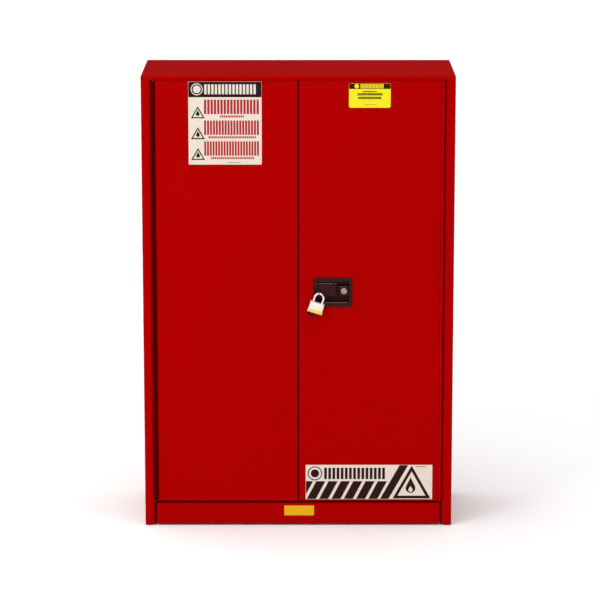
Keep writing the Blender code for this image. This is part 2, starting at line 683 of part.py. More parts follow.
def paddle_bore():
    return rod_mesh((POCKET_LEFT - CUT / 2, PADDLE_AXIS_Y, PADDLE_AXIS_Z),
                    (EAR_RIGHT + CUT / 2, PADDLE_AXIS_Y, PADDLE_AXIS_Z), PADDLE_BORE, 10)


def build_key_plug():
    """The turning plug of the key cylinder, with a slot in front and a cam behind."""
    front = FRONT - 0.003
    cam = FRONT + POCKET_DEPTH + 0.0023
    plug = make_part("key_plug", rod_mesh((LOCK_X, front, LOCK_Z), (LOCK_X, cam + 0.0007, LOCK_Z),
                                          PLUG_BORE - CLEAR, 20), (LOCK_X, FRONT, LOCK_Z), CHROME)
    change(plug, "cam", rounded_block_mesh((LOCK_X - 0.004, cam, LOCK_Z - 0.025),
                                           (LOCK_X + 0.004, cam + 0.002, LOCK_Z + 0.004), 0.002,
                                           segments=2), "UNION")
    change(plug, "keyway", block_mesh((LOCK_X - 0.0006, front - CUT, LOCK_Z - 0.004),
                                      (LOCK_X + 0.0006, front + 0.006, LOCK_Z + 0.004)))


def bolt_profile(length):
    """A bullet-shaped head that narrows to its rod; length is from tip to end."""
    return [(0, 0), (0.0025, -0.0006), (0.0048, -0.0035), (BOLT_RADIUS, -0.0085), (BOLT_RADIUS, -0.034),
            (ROD_RADIUS, -0.039), (ROD_RADIUS, -length), (0, -length)]


def build_latch():
    """The rotor behind the paddle and the three bolts that it draws."""
    near = ROTOR_FRONT
    far = near + ROTOR_THICKNESS
    rotor = make_part("latch_rotor", rod_mesh((ROTOR_X, near, ROTOR_Z), (ROTOR_X, far, ROTOR_Z),
                                              ROTOR_RADIUS, 24), (ROTOR_X, near, ROTOR_Z), GALVANIZED)
    reach = ROTOR_ARM + 0.004
    change(rotor, "arms", rounded_block_mesh((ROTOR_X - reach, near + 0.0002, ROTOR_Z - 0.006),
                                             (ROTOR_X + reach, far - 0.0002, ROTOR_Z + 0.006),
                                             0.004, segments=2), "UNION")
    change(rotor, "pivot_hole", rod_mesh((ROTOR_X, near - CUT, ROTOR_Z), (ROTOR_X, far + CUT, ROTOR_Z),
                                         0.003, 12))
    top = DOOR_TOP + BOLT_TIP
    bottom = DOOR_BOTTOM - BOLT_TIP
    overlap = 0.005
    turned("top_bolt", bolt_profile(top - ROTOR_Z - overlap), (ROTOR_X - ROTOR_ARM, LATCH_Y, top), STAINLESS)
    turned("bottom_bolt", bolt_profile(ROTOR_Z - overlap - bottom), (ROTOR_X + ROTOR_ARM, LATCH_Y, bottom),
           STAINLESS, (math.pi, 0, 0))
    turned("centre_bolt", bolt_profile(0.057), (DOOR_INNER - BOLT_TIP, LATCH_Y, ROTOR_Z), STAINLESS,
           (0, -math.pi / 2, 0))


def shackle_points():
    """The shackle's centre line: a leg up, half a circle, and a leg down."""
    arc = 12
    points = [(-ARCH_RADIUS, BODY_TOP - 0.012), (-ARCH_RADIUS, -0.006)]
    for step in range(arc + 1):
        angle = math.pi * (1 - step / arc)
        points.append((ARCH_RADIUS * math.cos(angle), ARCH_RADIUS * math.sin(angle)))
    return points + [(ARCH_RADIUS, -0.006), (ARCH_RADIUS, BODY_TOP - 0.012)]


def build_shackle():
    curve = bpy.data.curves.new("padlock_shackle", "CURVE")
    curve.dimensions = "3D"
    curve.bevel_depth = WIRE_RADIUS
    curve.bevel_resolution = 2
    curve.render_resolution_u = 0
    curve.use_fill_caps = True
    line = curve.splines.new("POLY")
    route = shackle_points()
    line.points.add(len(route) - 1)
    for point, (x, z) in zip(line.points, route):
        point.co = (x, 0, z, 1)
    shackle = bpy.data.objects.new("padlock_shackle", curve)
    PARTS.objects.link(shackle)
    give_finish(shackle, CHROME)
    return shackle


def build_padlock():
    """The padlock, made upright and then tilted with its axis."""
    centre = (LUG_X, LUG_Y, LUG_HOLE_Z - ARCH_RADIUS)
    axis = joint_axis("padlock_axis", centre, (0, PADLOCK_TILT, 0))
    wide, deep = BODY_HALF_WIDTH, BODY_HALF_DEPTH
    body = make_part("padlock_body", rounded_block_mesh((-wide, -deep, BODY_BOTTOM), (wide, deep, BODY_TOP),
                                                        0.0035, "Z", 3), (0, 0, 0), LAMINATED)
    for hand, x in (("left", -ARCH_RADIUS), ("right", ARCH_RADIUS)):
        change(body, hand + "_leg_hole", rod_mesh((x, 0, BODY_TOP - 0.016), (x, 0, 0), SHACKLE_HOLE))
    plug_end = BODY_BOTTOM + 0.014
    change(body, "plug_hole", rod_mesh((KEY_X, 0, BODY_BOTTOM - CUT), (KEY_X, 0, plug_end), KEYHOLE))

    base = BODY_BOTTOM - CLEAR - BUMPER_WALL
    wide, deep = BODY_HALF_WIDTH + 0.0015, BODY_HALF_DEPTH + 0.0015
    cup = rounded_block_mesh((-wide, -deep, base), (wide, deep, BODY_BOTTOM + 0.006), 0.0045, "Z", 3)
    bumper = make_part("padlock_bumper", cup, (0, 0, 0), YELLOW_PLASTIC)
    wide, deep = BODY_HALF_WIDTH + CLEAR, BODY_HALF_DEPTH + CLEAR
    change(bumper, "body_space", rounded_block_mesh((-wide, -deep, BODY_BOTTOM - CLEAR),
                                                    (wide, deep, BODY_BOTTOM + CUT + 0.004), 0.0035, "Z", 3))
    change(bumper, "plug_hole", rod_mesh((KEY_X, 0, base - CUT), (KEY_X, 0, base + CUT), KEYHOLE + 0.0006))

    key = make_part("padlock_key", rod_mesh((KEY_X, 0, base - 0.0027), (KEY_X, 0, plug_end - 0.0005), 0.0050),
                    (0, 0, 0), BLACK_PLASTIC)
    change(key, "bow", rounded_block_mesh((KEY_X - 0.012, -0.0025, base - 0.0172),
                                          (KEY_X + 0.012, 0.0025, base - 0.0012), 0.006), "UNION")
    for item in (build_shackle(), body, bumper, key):
        item.parent = axis
        for modifier in item.modifiers:
            modifier.object.parent = axis


clear_scene()
PARTS = new_collection("flammable_storage_cabinet")
CUTTERS = new_collection("cutters")
CUTTERS.hide_render = True

build_walls()
build_door_frame()
build_shelves()
build_vents()
build_feet()
build_left_door()
build_right_door()
build_paddle()
build_key_plug()
build_latch()
build_padlock()
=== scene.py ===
"""The looks of a two-door safety cabinet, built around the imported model.

Units are metres, in the model's own frame: +X is the right side seen from the
front, the doors face -Y, and the floor is z = 0.
"""

import json
import math

import bmesh
import bpy
from mathutils import Matrix, Vector


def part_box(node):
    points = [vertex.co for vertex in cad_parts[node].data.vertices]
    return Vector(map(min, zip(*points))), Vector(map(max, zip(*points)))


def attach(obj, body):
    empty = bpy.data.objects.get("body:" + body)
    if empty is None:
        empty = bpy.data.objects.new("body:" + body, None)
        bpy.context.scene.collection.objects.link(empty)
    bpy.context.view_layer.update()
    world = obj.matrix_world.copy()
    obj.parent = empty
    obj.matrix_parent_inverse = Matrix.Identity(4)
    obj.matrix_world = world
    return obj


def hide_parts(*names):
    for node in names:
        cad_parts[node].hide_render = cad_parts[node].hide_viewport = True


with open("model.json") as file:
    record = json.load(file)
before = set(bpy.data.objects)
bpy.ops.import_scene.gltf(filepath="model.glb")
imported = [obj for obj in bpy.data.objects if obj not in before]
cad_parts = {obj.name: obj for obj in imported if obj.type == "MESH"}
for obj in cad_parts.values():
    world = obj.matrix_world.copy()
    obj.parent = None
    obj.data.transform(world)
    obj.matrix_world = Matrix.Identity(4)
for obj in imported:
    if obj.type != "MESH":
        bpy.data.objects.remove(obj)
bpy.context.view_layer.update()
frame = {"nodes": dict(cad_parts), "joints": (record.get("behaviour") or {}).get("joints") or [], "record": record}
NODES = frame["nodes"]
JOINTS = {joint["name"]: joint for joint in frame["joints"]}
DOOR_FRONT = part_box("left_door_skin")[0].y

# Camera
CAMERA_DISTANCE = 10.0
CAMERA_X = 0.006
CAMERA_HEIGHT = 2.926
CAMERA_PITCH = math.radians(11.83)
CAMERA_LENS = 172.5
CAMERA_SENSOR = 36.0
CAMERA_CLIP_END = 400.0

# Floor and light
FLOOR_SIZE = 160.0
DOME_STRENGTH = 1.24
DOME_LOW = 0.03  # brightness of the dome's dark side, as a share of its bright side
DOME_FACING = (-0.42, -0.45, 0.788)  # the direction of the dome's bright side
DOME_RISE = (0.02, 0.50)  # cosines from that direction between which the dome brightens
SUN_STRENGTH = 1.1
SUN_ANGLE = math.radians(50)
KEY_LIGHT_PLACE = (-3.6, -4.2, 4.0)
KEY_LIGHT_TARGET = (-0.1, 0, 0.9)
KEY_LIGHT_SIZE = 2.4
KEY_LIGHT_POWER = 90

# Print on the labels
PRINT_PROUD = 0.00012
PRINT_SUNK = 0.00010
LABEL_EDGE = 0.0006  # bare film round the print
STRIP_EDGE = 0.0010
FINE_FILL = 0.62  # the share of a word's width that its bars print, by kind of word
HEADING_FILL = 0.66
WORD_FILL = 0.70
DENSE_FILL = 0.75
# Rows from the top: bars in the word, bars in the small print, and the small print's two ends as
# shares of the label's width
WARNING_ROWS = [(17, 13, 0.433, 0.759), (19, 25, 0.274, 0.921), (20, 23, 0.308, 0.897)]
# Rows from the top: the two ends as shares of the label's width, the middle and half the height as
# shares of its height, and the number of bars
CAPACITY_ROWS = [(0.34, 0.66, 0.665, 0.026, 13), (0.205, 0.80, 0.555, 0.050, 22),
                 (0.225, 0.775, 0.405, 0.050, 20)]
STRIPES = 7

# Ridges on the handle
RIDGE_REACH = 0.0008
RIDGE_WIDTH = 0.0026
RIDGE_ROOT = 0.0003  # how far a ridge starts behind the face it stands on
PADDLE_FACE = 0.0022  # how far each ridge's face stands in front of the doors
LOCK_FACE = 0.0009
POCKET_FACE = 0.0029

# Padlock, upright about the centre of its shackle's arch
BODY_HALF_WIDTH = 0.0258
BODY_HALF_DEPTH = 0.0109
BODY_TOP = -0.0166
BODY_BOTTOM = -0.0504
ARCH_RADIUS = 0.016
ARCH_FOOT = -0.004
ARCH_STEPS = 28
WIRE_RADIUS = 0.004
LEG_LENGTH = 0.012
LEG_PLAY = 0.0005
LEG_HOLE_DEPTH = 0.0155
LAMINATIONS = 11
PLATE_STEP = 0.0004  # how much smaller every second plate is
PLATE_CORNER = 0.0035
PLATE_CHAMFER = 0.00045
RIVET_X = 0.0215
RIVET_Y = 0.0068
RIVET_RADIUS = 0.0021
RIVET_HEIGHT = 0.0008
RIVET_SUNK = 0.0001
RIVET_STEPS = 16

# The padlock's key, from the middle of its plug's lower end
KEY_X = -0.010
KEY_BASE = BODY_BOTTOM - 0.0033
KEYWAY_RADIUS = 0.0054
KEYWAY_DEPTH = 0.013
KEYWAY_OVERSHOOT = 0.01
PLUG_RADIUS = 0.0048
PLUG_LENGTH = 0.0150
PLUG_MIDDLE = 0.0085
NECK_BOTTOM_RADIUS = 0.0035
NECK_TOP_RADIUS = 0.0042
NECK_LENGTH = 0.0050
NECK_MIDDLE = -0.0006
HEAD_HALF_WIDTH = 0.0118
HEAD_HALF_DEPTH = 0.0024
HEAD_BOTTOM = -0.0170
HEAD_TOP = -0.0016
HEAD_CORNER = 0.0062
HEAD_ROUNDING = 0.0010
RING_HOLE_Z = -0.0132
RING_HOLE_RADIUS = 0.0014
RING_HOLE_DEPTH = 0.02


# ---------------------------------------------------------------- camera, floor and light

def make_camera():
    data = bpy.data.cameras.new("camera")
    data.lens = CAMERA_LENS
    data.sensor_width = CAMERA_SENSOR
    data.clip_end = CAMERA_CLIP_END
    camera = bpy.data.objects.new("camera", data)
    camera.location = (CAMERA_X, DOOR_FRONT - CAMERA_DISTANCE, CAMERA_HEIGHT)
    camera.rotation_euler = (math.pi / 2 - CAMERA_PITCH, 0, 0)
    bpy.context.scene.collection.objects.link(camera)
    bpy.context.scene.camera = camera


def make_key_light():
    data = bpy.data.lights.new("key", "AREA")
    data.shape = "SQUARE"
    data.size = KEY_LIGHT_SIZE
    data.energy = KEY_LIGHT_POWER
    light = bpy.data.objects.new("key", data)
    light.location = KEY_LIGHT_PLACE
    aim = Vector(KEY_LIGHT_TARGET) - Vector(KEY_LIGHT_PLACE)
    light.rotation_euler = aim.to_track_quat("-Z", "Y").to_euler()
    bpy.context.scene.collection.objects.link(light)


def make_dome():
    """A white dome that is bright above and in front, and dark low down at the back."""
    world = bpy.data.worlds.new("studio_dome")
    world.use_nodes = True
    bpy.context.scene.world = world
    tree = world.node_tree
    tree.nodes.clear()
    output = tree.nodes.new("ShaderNodeOutputWorld")
    background = tree.nodes.new("ShaderNodeBackground")
    place = tree.nodes.new("ShaderNodeTexCoord")
    facing = tree.nodes.new("ShaderNodeVectorMath")
    facing.operation = "DOT_PRODUCT"
    facing.inputs[1].default_value = DOME_FACING
    rise = tree.nodes.new("ShaderNodeMapRange")
    rise.interpolation_type = "SMOOTHSTEP"
    rise.inputs["From Min"].default_value = DOME_RISE[0]
    rise.inputs["From Max"].default_value = DOME_RISE[1]
    rise.inputs["To Min"].default_value = DOME_LOW * DOME_STRENGTH
    rise.inputs["To Max"].default_value = DOME_STRENGTH
    tree.links.new(place.outputs["Generated"], facing.inputs[0])
    tree.links.new(facing.outputs["Value"], rise.inputs["Value"])
    tree.links.new(rise.outputs["Result"], background.inputs["Strength"])
    tree.links.new(background.outputs[0], output.inputs["Surface"])


def make_floor():
    mesh = bmesh.new()
    bmesh.ops.create_grid(mesh, x_segments=1, y_segments=1, size=FLOOR_SIZE / 2)
    data = bpy.data.meshes.new("floor")
    mesh.to_mesh(data)
    mesh.free()
    floor = bpy.data.objects.new("floor", data)
    bpy.context.scene.collection.objects.link(floor)
    material, shader, _ = new_material("pale_floor", (0.94, 0.94, 0.94), 0.9)
    shader.inputs["Specular IOR Level"].default_value = 0.0
    data.materials.append(material)


def make_sun():
    data = bpy.data.lights.new("overhead", "SUN")
    data.energy = SUN_STRENGTH
    data.angle = SUN_ANGLE
    overhead = bpy.data.objects.new("overhead", data)
    bpy.context.scene.collection.objects.link(overhead)


# ---------------------------------------------------------------- materials

def new_material(name, colour, roughness, metallic=0.0):
    material = bpy.data.materials.new(name)
    material.use_nodes = True
    tree = material.node_tree
    shader = tree.nodes["Principled BSDF"]
    shader.inputs["Base Color"].default_value = (*colour, 1)
    shader.inputs["Roughness"].default_value = roughness
    shader.inputs["Metallic"].default_value = metallic
    return material, shader, tree


def noise(tree, scale, detail=2.0, roughness=0.5, stretch=(1, 1, 1)):
    """Noise in metres of the model's frame; scale is features per metre."""
    place = tree.nodes.new("ShaderNodeTexCoord")
    mapping = tree.nodes.new("ShaderNodeMapping")
    mapping.inputs["Scale"].default_value = stretch
    texture = tree.nodes.new("ShaderNodeTexNoise")
    texture.inputs["Scale"].default_value = scale
    texture.inputs["Detail"].default_value = detail
    texture.inputs["Roughness"].default_value = roughness
    tree.links.new(place.outputs["Object"], mapping.inputs["Vector"])
    tree.links.new(mapping.outputs["Vector"], texture.inputs["Vector"])
    return texture.outputs["Fac"]


def spread(tree, value, low, high, start=0.3, end=0.7):
    """Maps a noise value from start..end to low..high."""
    node = tree.nodes.new("ShaderNodeMapRange")
    node.inputs["From Min"].default_value = start
    node.inputs["From Max"].default_value = end
    node.inputs["To Min"].default_value = low
    node.inputs["To Max"].default_value = high
    tree.links.new(value, node.inputs["Value"])
    return node.outputs["Result"]


def blend_colours(tree, shader, value, first, second):
    mix = tree.nodes.new("ShaderNodeMix")
    mix.data_type = "RGBA"
    mix.inputs["A"].default_value = (*first, 1)
    mix.inputs["B"].default_value = (*second, 1)
    tree.links.new(value, mix.inputs["Factor"])
    tree.links.new(mix.outputs["Result"], shader.inputs["Base Color"])


def bumps(tree, shader, layers):
    """Stacks bump layers, each (height output, distance in metres)."""
    previous = None
    for height, distance in layers:
        node = tree.nodes.new("ShaderNodeBump")
        node.inputs["Strength"].default_value = 1.0
        node.inputs["Distance"].default_value = distance
        tree.links.new(height, node.inputs["Height"])
        if previous is not None:
            tree.links.new(previous, node.inputs["Normal"])
        previous = node.outputs["Normal"]
    tree.links.new(previous, shader.inputs["Normal"])


def enamel(name, colour, roughness=0.42, orange_peel=0.00006, waviness=0.0006):
    """Powder coat on sheet steel: orange peel over a faint buckle in the sheet."""
    material, shader, tree = new_material(name, colour, roughness)
    shader.inputs["Specular IOR Level"].default_value = 0.08
    shader.inputs["Specular Tint"].default_value = (1.0, 0.012, 0.012, 1)
    tone = spread(tree, noise(tree, 1.6, 3), 0, 1)
    darker = tuple(0.955 * part for part in colour)
    blend_colours(tree, shader, tone, darker, colour)
    tree.links.new(spread(tree, noise(tree, 9, 4), roughness - 0.04, roughness + 0.05),
                   shader.inputs["Roughness"])
    bumps(tree, shader, [(noise(tree, 2.1, 1), waviness), (noise(tree, 420, 2), orange_peel)])
    return material


def galvanized():
    material, shader, tree = new_material("galvanized_sheet", (0.55, 0.57, 0.58), 0.42, 0.9)
    place = tree.nodes.new("ShaderNodeTexCoord")
    crystals = tree.nodes.new("ShaderNodeTexVoronoi")
    crystals.inputs["Scale"].default_value = 70
    tree.links.new(place.outputs["Object"], crystals.inputs["Vector"])
    grey = tree.nodes.new("ShaderNodeSeparateColor")
    tree.links.new(crystals.outputs["Color"], grey.inputs["Color"])
    blend_colours(tree, shader, grey.outputs["Red"], (0.46, 0.48, 0.49), (0.64, 0.66, 0.67))
    tree.links.new(spread(tree, grey.outputs["Green"], 0.32, 0.5, 0, 1),
                   shader.inputs["Roughness"])
    bumps(tree, shader, [(noise(tree, 300, 2), 0.00002)])
    return material


def brushed_steel(name, colour, roughness, stretch=(1, 1, 14), metallic=1.0):
    material, shader, tree = new_material(name, colour, roughness, metallic)
    grain = noise(tree, 900, 3, 0.6, stretch)
    tree.links.new(spread(tree, grain, roughness - 0.06, roughness + 0.08),
                   shader.inputs["Roughness"])
    dark = tuple(0.86 * part for part in colour)
    blend_colours(tree, shader, spread(tree, grain, 0, 1), dark, colour)
    bumps(tree, shader, [(grain, 0.000008)])
    return material


def chrome(name, colour, roughness):
    material, shader, tree = new_material(name, colour, roughness, 1.0)
    tree.links.new(spread(tree, noise(tree, 260, 4), roughness - 0.04, roughness + 0.05),
                   shader.inputs["Roughness"])
    bumps(tree, shader, [(noise(tree, 700, 2), 0.000004)])
    return material


def moulded(name, colour, roughness, grain=0.00003, scale=1500, specular=0.5):
    """Moulded or cast and coated: a fine even grain with slightly uneven gloss."""
    material, shader, tree = new_material(name, colour, roughness)
    shader.inputs["Specular IOR Level"].default_value = specular
    lighter = tuple(min(1.0, 1.12 * part + 0.001) for part in colour)
    blend_colours(tree, shader, spread(tree, noise(tree, 60, 3), 0, 1), colour, lighter)
    tree.links.new(spread(tree, noise(tree, 120, 3), roughness - 0.05, roughness + 0.05),
                   shader.inputs["Roughness"])
    bumps(tree, shader, [(noise(tree, scale, 2), grain)])
    return material


def film(name, colour, roughness=0.45, specular=0.3):
    """Printed adhesive film: nearly even, with faint mottling and a soft wave."""
    material, shader, tree = new_material(name, colour, roughness)
    shader.inputs["Specular IOR Level"].default_value = specular
    darker = tuple(0.95 * part for part in colour)
    blend_colours(tree, shader, spread(tree, noise(tree, 35, 4), 0, 1), darker, colour)
    tree.links.new(spread(tree, noise(tree, 80, 2), roughness - 0.05, roughness + 0.08),
                   shader.inputs["Roughness"])
    bumps(tree, shader, [(noise(tree, 14, 1), 0.0002), (noise(tree, 900, 2), 0.000012)])
    return material


def turned_brass():
    material, shader, tree = new_material("turned_brass", (0.62, 0.44, 0.16), 0.3, 1.0)
    tree.links.new(spread(tree, noise(tree, 500, 3), 0.22, 0.4), shader.inputs["Roughness"])
    bumps(tree, shader, [(noise(tree, 1200, 2), 0.00001)])
    return material


RED_PAINT = enamel("red_enamel", (0.372, 0.0004, 0.0005))
# The hinges' tones are painted shade and light, not their own colour: the left hinge is darkened
# as painted shade so its gap looks dark, and the right hinge is lightened as painted light so its
# gap hardly shows; a real cabinet would have both in the body's colour
LEFT_HINGE_PAINTED_SHADE = enamel("left_hinge_painted_shade", (0.060, 0.0005, 0.0005), 0.6)
RIGHT_HINGE_PAINTED_LIGHT = enamel("right_hinge_painted_light", (0.42, 0.0006, 0.0006), 0.6)
FINISHES = {
    "red_paint": RED_PAINT,
    "galvanized_steel": galvanized(),
    "stainless_steel": brushed_steel("stainless_steel", (0.62, 0.62, 0.61), 0.28),
    "chrome": chrome("chrome_plate", (0.84, 0.76, 0.73), 0.16),
    "handle_black": moulded("handle_black", (0.028, 0.0050, 0.0042), 0.40, specular=0.09),
    "laminated_steel": brushed_steel("plated_laminations", (0.93, 0.86, 0.78), 0.42, (1, 1, 6),
                                     0.35),
    "yellow_plastic": moulded("yellow_bumper", (0.82, 0.55, 0.03), 0.45),
    "black_plastic": moulded("black_key_head", (0.004, 0.0035, 0.0035), 0.45, specular=0.15),
    "label_cream": film("cream_film", (0.735, 0.65, 0.555), specular=0.15),
    "label_yellow": film("yellow_film", (0.84, 0.72, 0.010), specular=0.15),
    "label_orange": film("orange_film", (0.76, 0.40, 0.004), specular=0.15),
    "brass": turned_brass(),
}
# The key lock's chrome, darkened and tinted pink: a painted reflection of the red door around it
LOCK_CHROME_PAINTED_REFLECTION = chrome("lock_chrome_painted_reflection", (0.40, 0.27, 0.25), 0.28)
# Lighter than the handle's black: a painted highlight on the handle's ridges, with a glossier finish
HANDLE_RIDGE_PAINTED_HIGHLIGHT = moulded("handle_ridge_painted_highlight", (0.070, 0.025, 0.022), 0.3, specular=0.6)
PRINT_BLACK = film("black_print", (0.016, 0.006, 0.0055), 0.5, 0.08)
PRINT_BROWN = film("brown_print", (0.022, 0.0055, 0.0045), 0.5, 0.08)
PRINT_RED = film("red_print", (0.40, 0.010, 0.018), 0.45, 0.2)


# ---------------------------------------------------------------- the model's own nodes

# How far each of these nodes' outer edges is rounded in the render
EDGE_ROUNDING = {"handle_housing": 0.0009, "handle_paddle": 0.0007, "key_plug": 0.0003,
                 "padlock_bumper": 0.0006, "latch_rotor": 0.0003, "top_strike": 0.0003,
                 "bottom_strike": 0.0003, "centre_strike": 0.0003}
SMOOTH_ANGLE = math.radians(40)
WELD_DISTANCE = 0.00001
# Nodes whose tone differs from their slot's usual finish: painted shade on the left hinge, painted
# light on the right hinge and a painted reflection on the key lock's chrome
SPECIAL_FINISHES = {
    "left_hinge_frame_leaf": LEFT_HINGE_PAINTED_SHADE,
    "left_hinge_door_leaf": LEFT_HINGE_PAINTED_SHADE,
    "right_hinge_frame_leaf": RIGHT_HINGE_PAINTED_LIGHT,
    "right_hinge_door_leaf": RIGHT_HINGE_PAINTED_LIGHT,
    "key_cylinder": LOCK_CHROME_PAINTED_REFLECTION,
    "key_plug": LOCK_CHROME_PAINTED_REFLECTION,
}


def finish_node(node, slot):
    """Gives a node its material, joined faces and rounded edges, without changing its mesh."""
    node.data.materials.clear()
    node.data.materials.append(SPECIAL_FINISHES.get(node.name, FINISHES[slot]))
    for name in ("custom_normal", "sharp_edge", "sharp_face"):
        attribute = node.data.attributes.get(name)
        if attribute is not None:
            node.data.attributes.remove(attribute)
    node.data.shade_smooth()
    weld = node.modifiers.new("join_faces", "WELD")
    weld.merge_threshold = WELD_DISTANCE
    if node.name in EDGE_ROUNDING:
        bevel = node.modifiers.new("rounded_edges", "BEVEL")
        bevel.width = EDGE_ROUNDING[node.name]
        bevel.segments = 3
        bevel.limit_method = "ANGLE"
        bevel.angle_limit = SMOOTH_ANGLE
    split = node.modifiers.new("sharp_edges", "EDGE_SPLIT")
    split.split_angle = SMOOTH_ANGLE
    split.use_edge_sharp = False
    node.modifiers.new("even_shading", "WEIGHTED_NORMAL")


def finish_nodes():
    for part in frame["record"]["subparts"]:
        finish_node(NODES[part["node"]], part["material_slot"])


# ---------------------------------------------------------------- shapes

def loose_piece(name, mesh, material):
    """Makes an object of a bmesh, with its faces turned outwards."""
    bmesh.ops.recalc_face_normals(mesh, faces=mesh.faces)
    data = bpy.data.meshes.new(name)
    mesh.to_mesh(data)
    mesh.free()
    data.materials.append(material)
    piece = bpy.data.objects.new(name, data)
    bpy.context.scene.collection.objects.link(piece)
    return piece


def new_piece(name, mesh, material, body):
    piece = loose_piece(name, mesh, material)
    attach(piece, body)


def evaluated_mesh(item):
    """A new mesh of an object with its modifiers or its curve's thickness applied."""
    bpy.context.view_layer.update()
    shown = item.evaluated_get(bpy.context.evaluated_depsgraph_get())
    return bpy.data.meshes.new_from_object(shown)


def apply_modifiers(item):
    data = evaluated_mesh(item)
    item.modifiers.clear()
    item.data = data


def shade(piece, degrees=35):
    piece.data.shade_smooth()
    piece.data.set_sharp_from_angle(angle=math.radians(degrees))


def join_rings(mesh, rings):
    """Adds the walls between rings of vertices, and a lid on the first and the last."""
    mesh.faces.new(reversed(rings[0]))
    mesh.faces.new(rings[-1])
    for lower, upper in zip(rings, rings[1:]):
        for i in range(len(lower)):
            j = (i + 1) % len(lower)
            mesh.faces.new((lower[i], lower[j], upper[j], upper[i]))


def add_round_bar(mesh, place, length, radius, end_radius, segments=32):
    bmesh.ops.create_cone(mesh, cap_ends=True, segments=segments, radius1=radius,
                          radius2=end_radius, depth=length, matrix=place)


def add_prism(mesh, outline, near, far):
    """Adds a closed flat prism whose (x, z) outline runs along Y from near to far."""
    join_rings(mesh, [[mesh.verts.new((x, y, z)) for x, z in outline] for y in (near, far)])


def extrude_outline(mesh, outline, near, far):
    """Adds the same prism as add_prism by extrusion, which leaves its faces in another order.

    The padlock key's head needs that order: its rounding comes out slightly different without it.
    """
    face = mesh.faces.new([mesh.verts.new((x, near, z)) for x, z in outline])
    grown = bmesh.ops.extrude_face_region(mesh, geom=[face])["geom"]
    moved = [piece for piece in grown if isinstance(piece, bmesh.types.BMVert)]
    bmesh.ops.translate(mesh, verts=moved, vec=(0, far - near, 0))


def rectangle(left, bottom, right, top):
    return [(left, bottom), (right, bottom), (right, top), (left, top)]


def rounded(left, bottom, right, top, radius, corners=(True, True, True, True), steps=5):
    """A rectangle with rounded corners, listed from the bottom left and anticlockwise."""
    centres = [(left, bottom, 1, 1, math.pi), (right, bottom, -1, 1, 1.5 * math.pi),
               (right, top, -1, -1, 0), (left, top, 1, -1, 0.5 * math.pi)]
    outline = []
    for (x, z, across, up, start), round_it in zip(centres, corners):
        if not round_it:
            outline.append((x, z))
            continue
        for step in range(steps + 1):
            angle = start + 0.5 * math.pi * step / steps
            outline.append((x + across * radius + radius * math.cos(angle),
                            z + up * radius + radius * math.sin(angle)))
    return outline


def disc(x, z, radius, steps=24):
    turns = [math.tau * step / steps for step in range(steps)]
    return [(x + radius * math.cos(turn), z + radius * math.sin(turn)) for turn in turns]


def ring(x, z, outer, inner, steps=24):
    """A flat ring as a row of closed pieces."""
    turns = [math.tau * step / steps for step in range(steps + 1)]
    around = [(math.cos(turn), math.sin(turn)) for turn in turns]
    return [[(x + outer * a, z + outer * b), (x + outer * c, z + outer * d),
             (x + inner * c, z + inner * d), (x + inner * a, z + inner * b)]
            for (a, b), (c, d) in zip(around, around[1:])]


def drop(x, bottom, width, height, steps=14):
    """A plain drop with a round foot and a pointed top."""
    radius = width / 2
    centre = bottom + radius
    tangent = math.asin(radius / (height - radius))
    outline = [(x, bottom + height)]
    for step in range(steps + 1):
        angle = math.pi - tangent + (math.pi + 2 * tangent) * step / steps
        outline.append((x + radius * math.cos(angle), centre + radius * math.sin(angle)))
    return outline


def triangle_frame(x, bottom, width, height, line):
    """The three bars of a triangle's outline, each a closed shape."""
    half = width / 2
    slope = math.hypot(half, height)
    inner_half = half - line * (slope + half) / height
    inner_bottom = bottom + line
    inner_top = bottom + height - line * slope / half
    outer = [(x - half, bottom), (x + half, bottom), (x, bottom + height)]
    inner = [(x - inner_half, inner_bottom), (x + inner_half, inner_bottom), (x, inner_top)]
    return [[outer[i], outer[(i + 1) % 3], inner[(i + 1) % 3], inner[i]] for i in range(3)]


def slanted_bar(left, width, bottom, top, lean, clip_left=0.0):
    """A bar that leans right by lean, with everything left of clip_left cut away."""
    corners = [(left, bottom), (left + width, bottom), (left + width + lean, top),
               (left + lean, top)]
    outline = []
    for (x, z), (next_x, next_z) in zip(corners, corners[1:] + corners[:1]):
        if x >= clip_left:
            outline.append((x, z))
        if (x - clip_left) * (next_x - clip_left) < 0:
            share = (clip_left - x) / (next_x - x)
            outline.append((clip_left, z + share * (next_z - z)))
    return outline


def block_word(left, bottom, right, top, bars, fill=FINE_FILL):
    """Evenly spaced upright bars, in the place of a word; fill is the share that is printed."""
    pitch = (right - left) / (bars - 1 + fill)
    return [rectangle(left + i * pitch, bottom, left + (i + fill) * pitch, top)
            for i in range(bars)]


# ---------------------------------------------------------------- labels

def label_size(label):
    low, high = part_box(label)
    return high.x - low.x, high.z - low.z


def print_on(name, label, body, shapes, material, layer=0):
    """Puts flat printed shapes on a label, placed from the label's lower left corner."""
    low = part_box(label)[0]
    lift = layer * PRINT_PROUD
    mesh = bmesh.new()
    for outline in shapes:
        placed = [(low.x + x, low.z + z) for x, z in outline]
        add_prism(mesh, placed, low.y + PRINT_SUNK - lift, low.y - PRINT_PROUD - lift)
    new_piece(name, mesh, material, body)


def heading_band(wide, tall, bottom, radius):
    """The dark band along a label's top, with its two upper corners rounded."""
    return rounded(LABEL_EDGE, bottom, wide - LABEL_EDGE, tall - LABEL_EDGE, radius,
                   (False, False, True, True))


